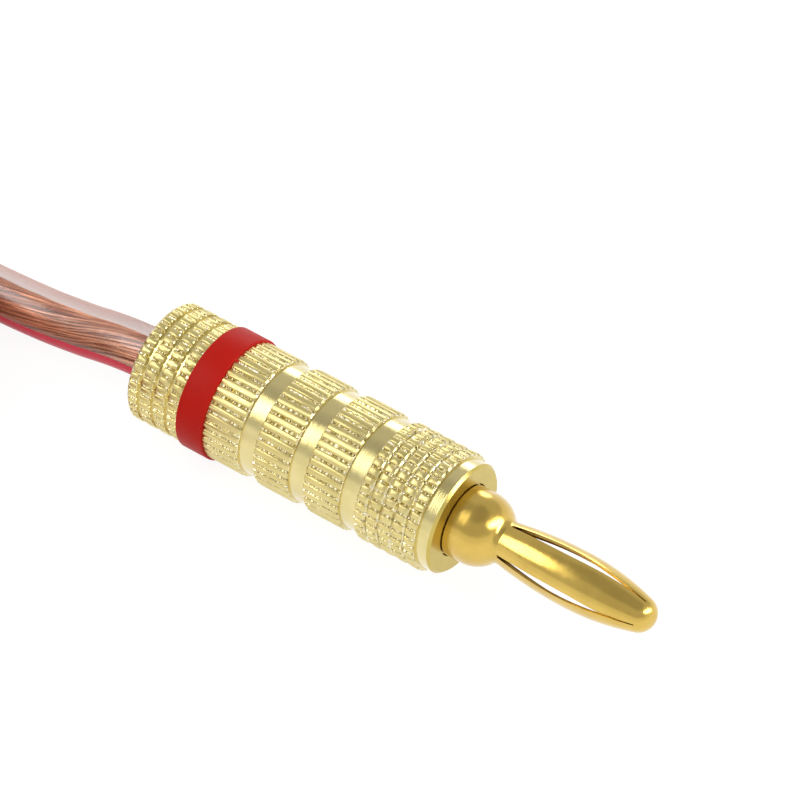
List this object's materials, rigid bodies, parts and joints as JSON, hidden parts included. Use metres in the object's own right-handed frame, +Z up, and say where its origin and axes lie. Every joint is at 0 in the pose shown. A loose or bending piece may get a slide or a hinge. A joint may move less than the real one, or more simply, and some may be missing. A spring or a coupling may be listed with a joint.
{
  "type": "banana plug",
  "caption": "Gold banana plug with a knurled barrel, screw-on rear cap, red colour ring and sprung lantern contact, on a clear copper speaker cable.",
  "frame": {"origin": "on the surface that the plug lies on, below the middle of the plug's length", "axes": "+X along the plug's axis towards the tip of the contact, +Z up"},
  "size_m": [0.1264, 0.0734, 0.0114],
  "materials": {
    "pale_gold": "bright pale gold plating over turned and knurled brass",
    "deep_gold": "polished warm gold plating",
    "red_plastic": "satin red plastic",
    "screw_steel": "plain steel",
    "copper": "bare twisted copper strands",
    "clear_jacket": "clear glossy jacket over copper strands, with a red stripe",
    "tie_plastic": "matt black tie"
  },
  "bodies": {
    "plug": {"barrel": "pale_gold", "contact_body": "deep_gold", "spring_contact": "deep_gold", "grub_screws": "screw_steel", "cable_conductor": "copper", "cable_jacket": "clear_jacket", "cable_coil": "clear_jacket", "cable_bare_end": "copper", "coil_tie": "tie_plastic"},
    "ring": {"colour_ring": "red_plastic"},
    "cap": {"rear_cap": "pale_gold"}
  },
  "joints": [
    {"name": "cap_travel", "type": "slide", "parent": "plug", "child": "ring", "axis": [-1, 0, 0], "range_m": [0, 0.004]},
    {"name": "cap_turn", "type": "hinge", "parent": "ring", "child": "cap", "pos_m": [-0.0227, 0, 0.0057], "axis": [-1, 0, 0], "range_deg": [0, 1440]}
  ],
  "couplings": [
    {"joint": "cap_travel", "follows": "cap_turn", "m_per_rad": 0.00015915}
  ]
}
